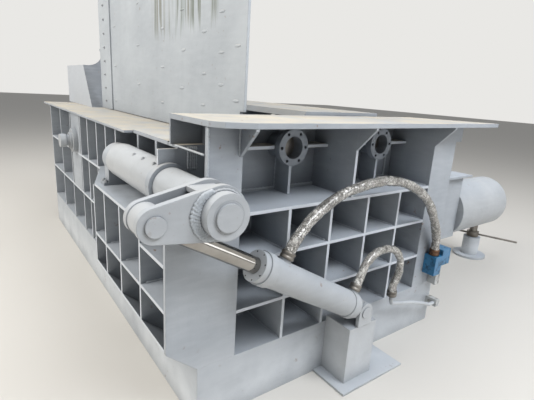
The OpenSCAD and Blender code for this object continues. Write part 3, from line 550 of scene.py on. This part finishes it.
# %% Piece helpers
WELD_DISTANCE = 1e-5


def keep(form, name, body, finish, smooth=True):
    bmesh.ops.recalc_face_normals(form, faces=form.faces)
    mesh = bpy.data.meshes.new(name)
    form.to_mesh(mesh)
    form.free()
    for face in mesh.polygons:
        face.use_smooth = smooth
    mesh.materials.append(finish)
    piece = bpy.data.objects.new(name, mesh)
    scene.collection.objects.link(piece)
    if body:
        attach(piece, body)
    return piece


def tube_mesh(runs, radius, resolution):
    """Tubes along runs of points, with a share of the radius at each point."""
    curve = bpy.data.curves.new("run", "CURVE")
    curve.dimensions = "3D"
    curve.bevel_depth = radius
    curve.bevel_resolution = resolution
    curve.use_fill_caps = True
    for points, radii in runs:
        spline = curve.splines.new("POLY")
        spline.points.add(len(points) - 1)
        for k, point in enumerate(points):
            spline.points[k].co = (*point, 1)
            spline.points[k].radius = radii[k] if radii else 1.0
    holder = bpy.data.objects.new("run", curve)
    scene.collection.objects.link(holder)
    bpy.context.view_layer.update()
    shape = holder.evaluated_get(bpy.context.evaluated_depsgraph_get())
    mesh = bpy.data.meshes.new_from_object(shape)
    bpy.data.objects.remove(holder)
    bpy.data.curves.remove(curve)
    form = bmesh.new()
    form.from_mesh(mesh)
    bpy.data.meshes.remove(mesh)
    bmesh.ops.remove_doubles(form, verts=form.verts, dist=WELD_DISTANCE)
    return form


def smooth_path(points, step):
    """A smooth curve through all the points, cut into steps of about one length."""
    path = []
    count = len(points)
    for k in range(count - 1):
        a = points[max(k - 1, 0)]
        b, c = points[k], points[k + 1]
        d = points[min(k + 2, count - 1)]
        pieces = max(1, round((c - b).length / step))
        for j in range(pieces):
            t = j / pieces
            path.append(0.5 * ((2 * b) + (c - a) * t + (2 * a - 5 * b + 4 * c - d) * t * t
                               + (3 * b - a - 3 * c + d) * t * t * t))
    path.append(points[-1])
    return path


def length_of(path):
    return sum((path[k + 1] - path[k]).length for k in range(len(path) - 1))


print("piece helpers ready")

# %% [markdown]
# The crank cylinder is fed by two hoses wound in clear film. A hose is a tube of
# one thickness on a smooth route. The film over it is the same tube pushed in and
# out by three clouds, from a slow swell to fine creases, so that it puckers.

# %% Film-wrapped hoses
CYL_LENGTH = math.hypot(PIVOT[0] - PIN[0], PIN[2] - PIVOT[2])
CYL_TILT = math.atan2(PIN[2] - PIVOT[2], PIVOT[0] - PIN[0])
# Places along the cylinder, from the crank pin, and the ports' height over its axis.
GLAND_AT = 509
FRONT_PORT = GLAND_AT + 145
REAR_PORT = CYL_LENGTH - 105
PORT_HEIGHT = 105.3
STRAIGHT_START = 40
LONG_RADIUS, SHORT_RADIUS = 25, 22
ROUTE_STEP = 0.009
# Depth in metres and scale of the three clouds, and how far all of it is sunk.
SWELL, PUCKER, CREASE = (0.0040, 9), (0.0026, 24), (0.0014, 60)
FILM_SUNK = 0.0012
LONG_ROUTE = [
    (445, -115, 910), (540, -100, 975), (686, -90, 1040), (840, -90, 1074), (1007, -90, 1086),
    (1183, -90, 1060), (1350, -90, 990), (1461, -88, 904), (1550, -80, 800), (1610, -68, 720),
    (1660, -52, 650), (1680, -45, 600), (1680, -45, 560.3)]
SHORT_ROUTE = [
    (905, -120, 650), (975, -112, 696), (1079, -110, 704), (1170, -110, 672),
    (1222, -110, 600), (1226, -105, 516), (1212, -92, 444), (1212, -92, 394.3)]


def over_cylinder(along, out):
    """A place along the crank cylinder from its pin, and out above its axis."""
    return at(PIN[0] + along * math.cos(CYL_TILT) + out * math.sin(CYL_TILT), PIN[1],
              PIN[2] - along * math.sin(CYL_TILT) + out * math.cos(CYL_TILT))


def film_push(place):
    swell = noise.noise(place * SWELL[1])
    pucker = 1 - abs(noise.noise(place * PUCKER[1])) * 2
    crease = 1 - abs(noise.noise(place * CREASE[1])) * 2
    return swell * SWELL[0] + pucker * PUCKER[0] + crease * CREASE[0] - FILM_SUNK


def wrapped_hose(name, node, port, route, radius):
    points = [over_cylinder(port, PORT_HEIGHT), over_cylinder(port, PORT_HEIGHT + STRAIGHT_START)]
    points += [at(*p) for p in route]
    path = smooth_path(points, ROUTE_STEP)
    form = tube_mesh([(path, None)], radius * MM, 11)
    for vert in form.verts:
        vert.co += vert.normal * film_push(vert.co)
    hose = keep(form, name, None, FILM)
    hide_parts(node)
    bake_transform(hose)
    print(name, "length", round(length_of(path), 3))


wrapped_hose("long_wrapped_hose", "long_hose", FRONT_PORT, LONG_ROUTE, LONG_RADIUS)
wrapped_hose("short_wrapped_hose", "short_hose", REAR_PORT, SHORT_ROUTE, SHORT_RADIUS)

# %% [markdown]
# Fillet welds join the plates. A bead is a thin tube along a seam, and its radius
# swells and sinks every few millimetres, as a hand-laid bead does.

# %% Weld beads
random.seed(7)
# The front grid: tops of the shelves, foot and head of each row of bays, the bays
# from side to side, and the front face of the wall behind them.
SHELF_TOPS = (992, 772, 535)
FRONT_ROWS = ((300, 519), (535, 756), (772, 976))
BAYS, BAYS_LEFT, BAYS_WIDE = 5, 190, 1370
RIB_HALF = 10
WALL_FACE = 306
# The left side: the near face of each rib, its two beads beside that face, the
# tops of both shelves and the back end of the step, which reaches further out.
LEFT_RIBS = (290, 580, 850, 1074, 1105, 1326, 1554, 1815, 2047, 2432, 2864)
RIB_SIDES = (-2, 18)
STEP_SHELF, LOW_SHELF = 620, 300
STEP_BACK, STEP_LEFT, BODY_LEFT = 1090, -120, 12
BOSS_LEFT = -192


def bead_run(start, end, pitch=8):
    length = (end - start).length
    count = max(3, round(length / (pitch * MM)))
    points = [start.lerp(end, k / count) for k in range(count + 1)]
    radii = [0.8 + 0.35 * (k % 2) + random.uniform(-0.12, 0.12) for k in range(count + 1)]
    return points, radii


def bead_ring(y, radius):
    """A bead right round the shaft's axis."""
    count = max(12, round(2 * math.pi * radius / 9))
    points = []
    for k in range(count + 1):
        turn = 2 * math.pi * k / count
        points.append(at(SHAFT_X + radius * math.cos(turn), y, SHAFT_Z + radius * math.sin(turn)))
    radii = [0.8 + 0.4 * (k % 2) for k in range(count + 1)]
    return points, radii


def beads(name, runs, size, body="press_body", finish=BEAD):
    keep(tube_mesh(runs, size * MM, 1), name, body, finish)
    print(name, "beads", len(runs))


def front_beads():
    """Fillets where the front shelves and ribs meet the columns and the back wall."""
    runs = []
    right = BAYS_LEFT + BAYS_WIDE
    for top in SHELF_TOPS:
        z = top + 2
        for x in (BAYS_LEFT + 3, right - 3):
            runs.append(bead_run(at(x, 22, z), at(x, 300, z)))
        runs.append(bead_run(at(BAYS_LEFT + 5, WALL_FACE + 1, z),
                             at(right - 5, WALL_FACE + 1, z), 14))
    for k in range(1, BAYS):
        rib = BAYS_LEFT + k * BAYS_WIDE / BAYS
        for low, high in FRONT_ROWS:
            for x in (rib - RIB_HALF, rib + RIB_HALF):
                runs.append(bead_run(at(x, 20, low + 2), at(x, 300, low + 2), 12))
                runs.append(bead_run(at(x, WALL_FACE + 1, low + 5),
                                     at(x, WALL_FACE + 1, high - 5), 12))
    return runs


def wall_seams():
    """Three plates close the back wall of the top row; their seams stand proud."""
    runs = []
    for x, top in ((596, 1165), (900, 1180), (1276, 1165), (1500, 1150)):
        runs.append(bead_run(at(x, WALL_FACE, 998), at(x, WALL_FACE, top), 12))
    for left, right in ((205, 596), (900, 700), (1276, 1500)):
        runs.append(bead_run(at(left, WALL_FACE, 1004), at(right, WALL_FACE, 1004), 12))
    return runs


def left_beads():
    """Fillets at the foot of the left ribs; those on the step reach further out."""
    runs = []
    for y in LEFT_RIBS:
        for low in (STEP_SHELF, LOW_SHELF):
            for side in RIB_SIDES:
                start_x = STEP_LEFT if y < STEP_BACK and low == STEP_SHELF else BODY_LEFT
                runs.append(bead_run(at(start_x, y + side, low + 2),
                                     at(420, y + side, low + 2), 14))
    return runs


def boss_weld_rows(rows, first, last):
    """Rows of weld laid over each other round the left of the crank's boss."""
    steps, reach, row_step = 62, 91, 8.5
    runs = []
    for row in range(rows):
        points, radii = [], []
        for k in range(steps + 1):
            share = k / steps
            turn = math.radians(first + (last - first) * share)
            bulge = reach + row * row_step * math.sin(math.pi * share) ** 0.6
            sway = bulge + 2.2 * math.sin(k * 1.9 + row) + random.uniform(-1.2, 1.2)
            points.append(at(SHAFT_X + sway * math.cos(turn), BOSS_LEFT + 0.4 * row,
                             SHAFT_Z + sway * math.sin(turn)))
            radii.append(0.75 + 0.5 * ((k + row) % 3) / 2 + random.uniform(-0.12, 0.12))
        runs.append((points, radii))
    return runs


def column_seams():
    """The seams that close the front column and the plate of the near bearing."""
    runs = []
    for x in (84, 94, 104, 114, 124):
        runs.append(bead_run(at(x, 288.5, 1132), at(x, 288.5, 1238), 9))
    runs.append(bead_run(at(30, -1, 1160), at(30, -1, 1352), 8))
    runs.append(bead_run(at(172, -1, 1240), at(172, -1, 1350), 8))
    runs.append(bead_run(at(24, 286, 1246), at(24, 20, 1246), 10))
    return runs


# The order of these calls is the order of the random draws.
beads("front_welds", front_beads(), 4.5)
beads("wall_seams", wall_seams(), 7)
beads("left_welds", left_beads(), 4.5)
beads("boss_weld", [bead_ring(-191, 89), bead_ring(-57, 87)], 6,
      "feed_panel", CYLINDER)
keep(tube_mesh(boss_weld_rows(4, 112, 250), 6.5 * MM, 2), "boss_left_weld", "feed_panel",
     BEAD)
beads("column_seams", column_seams(), 5)

# %% [markdown]
# The two skins of the feed panel are plug-welded to the ribs inside. Each plug is a
# short slot that was ground by hand, and still shows as a low long swelling under
# the paint.

# %% Plug welds on the feed panel
PLUG_PLACES = [
    (1820, 2060), (1040, 1930), (560, 1870), (1830, 1770), (1020, 1705), (560, 1675),
    (2410, 1630), (1350, 1610), (750, 1570), (1820, 1490), (1040, 1485), (555, 1515),
    (2440, 1335), (1355, 1380), (755, 1400), (400, 1440), (2410, 1950), (1350, 1850),
    (750, 1790), (400, 1700), (1350, 2110), (750, 2030), (2400, 2250), (1040, 2160),
    (560, 2080), (400, 1960), (1820, 2330), (1350, 2350), (750, 2270), (400, 2210)]
SKIN_LEFT, SKIN_RIGHT = 392, 452
RIGHT_SKIN_FROM = 480  # the right skin starts further back than the left one


def plug(form, place, width, height, depth):
    made = bmesh.ops.create_uvsphere(form, u_segments=20, v_segments=12, radius=1.0)
    bmesh.ops.scale(form, verts=made["verts"], vec=(depth * MM, width * MM, height * MM))
    bmesh.ops.translate(form, verts=made["verts"], vec=place)


def plug_welds():
    form = bmesh.new()
    for y, z in PLUG_PLACES:
        plug(form, at(SKIN_LEFT, y, z), random.uniform(27, 34), random.uniform(7, 9), 4.0)
        if y > RIGHT_SKIN_FROM:
            plug(form, at(SKIN_RIGHT, y, z), random.uniform(25, 31), random.uniform(7, 9), 3.5)
    keep(form, "plug_welds", "feed_panel", PANEL)
    print("plug welds", len(PLUG_PLACES))


plug_welds()

# %% [markdown]
# Hex bolts and nuts: a washer, a six-sided head that narrows a little, and the end
# of the thread. One helper stands them on any face.

# %% Bolts
# Washer, head and thread: radius, foot and top as shares of the head's radius,
# then the sides and how much each narrows.
BOLT_PARTS = (
    (1.15, 0, 0.2, 24, 0.97),
    (1, 0.2, 0.95, 6, 0.94),
    (0.55, 0.95, 1.35, 16, 0.94))
CYL_AXIS = (over_cylinder(100, 0) - over_cylinder(0, 0)).normalized()
ACROSS = Vector((0, 1, 0))
CYL_UP = CYL_AXIS.cross(ACROSS)
SOCKETS, SOCKET_RING, SOCKET_RADIUS, SOCKET_DEPTH = 8, 0.061, 0.0034, 0.0012
TUBE_RADIUS = 95
STUD_X = -52
STUD_Z = SHAFT_Z + math.sqrt(TUBE_RADIUS ** 2 - (STUD_X - SHAFT_X) ** 2) - 3


def turned_to(way):
    return WORLD_UP.rotation_difference(Vector(way)).to_matrix()


def bolt(form, place, out, size):
    for wide, low, high, sides, narrowing in BOLT_PARTS:
        radius, foot, top = size * wide, size * low, size * high
        made = bmesh.ops.create_cone(
            form, cap_ends=True, segments=sides, radius1=radius * MM,
            radius2=radius * MM * narrowing, depth=(top - foot) * MM)
        bmesh.ops.translate(form, verts=made["verts"], vec=(0, 0, (foot + top) / 2 * MM))
        bmesh.ops.rotate(form, verts=made["verts"], cent=(0, 0, 0), matrix=turned_to(out))
        bmesh.ops.translate(form, verts=made["verts"], vec=place)


def bolts(name, places, out, size, body, finish):
    form = bmesh.new()
    for place in places:
        bolt(form, place, out, size)
    keep(form, name, body, finish, False)
    print(name, len(places))


def gland_sockets():
    """Dark discs painted as shade, in place of the hollow sockets of the screws that
    hold the crank cylinder's gland.
    """
    form = bmesh.new()
    for k in range(SOCKETS):
        turn = 2 * math.pi * (k + 0.5) / SOCKETS
        offset = (ACROSS * math.cos(turn) + CYL_UP * math.sin(turn)) * SOCKET_RING
        made = bmesh.ops.create_cone(
            form, cap_ends=True, segments=16, radius1=SOCKET_RADIUS, radius2=SOCKET_RADIUS,
            depth=SOCKET_DEPTH)
        bmesh.ops.rotate(form, verts=made["verts"], cent=(0, 0, 0), matrix=turned_to(CYL_AXIS))
        bmesh.ops.translate(form, verts=made["verts"], vec=over_cylinder(GLAND_AT, 0) + offset)
    keep(form, "gland_sockets", "crank_cylinder", SOCKET_SHADE, False)


gland_sockets()
bolts("extension_bolts", [at(382, 2700, 1320 + 118 * k) for k in range(9)],
      (-1, 0, 0), 9, "feed_panel", ENAMEL)
bolts("bearing_foot_bolts", [at(x, y, 940) for x in (-98, 78) for y in (983, 1027)],
      (0, 0, 1), 12, "press_body", CYLINDER)
bolts("tube_studs", [at(STUD_X, y, STUD_Z) for y in (344, 486, 610)],
      (-0.25, 0, 0.97), 9, "feed_panel", CYLINDER)

# %% [markdown]
# A ferrule grips each hose end. It is a turned ring with rounded rims, spun from a
# small outline about the hose's own axis.

# %% Ferrules
# The outline: radius and height as shares of the ferrule's radius and length.
FERRULE_OUTLINE = (
    (0.80, 0), (0.97, 0), (1, 0.12), (1, 0.40), (0.93, 0.46),
    (0.93, 0.54), (1, 0.60), (1, 0.88), (0.97, 1), (0.80, 1))
FERRULE_FOOT = 78  # over the axis of the crank cylinder


def ferrule(name, centre, way, radius, length, body, finish):
    form = bmesh.new()
    verts = [form.verts.new((radius * wide * MM, 0, length * high * MM))
             for wide, high in FERRULE_OUTLINE]
    edges = [form.edges.new((vert, verts[(k + 1) % len(verts)]))
             for k, vert in enumerate(verts)]
    bmesh.ops.spin(form, geom=verts + edges, cent=(0, 0, 0), axis=(0, 0, 1),
                   angle=2 * math.pi, steps=36, use_merge=True)
    bmesh.ops.rotate(form, verts=form.verts, cent=(0, 0, 0), matrix=turned_to(way))
    bmesh.ops.translate(form, verts=form.verts, vec=centre)
    keep(form, name, body, finish)


FERRULES = (
    ("front_port_ferrule", over_cylinder(FRONT_PORT, FERRULE_FOOT), CYL_UP, 33, 34,
     "crank_cylinder", STEEL),
    ("rear_port_ferrule", over_cylinder(REAR_PORT, FERRULE_FOOT), CYL_UP, 31, 34,
     "crank_cylinder", STEEL),
    ("valve_ferrule", at(1680, -45, 527), WORLD_UP, 32, 40, "press_body", RUST),
    ("elbow_ferrule", at(1212, -92, 378), WORLD_UP, 29, 34, "press_body", STEEL))
for row in FERRULES:
    ferrule(*row)
print("ferrules", len(FERRULES))
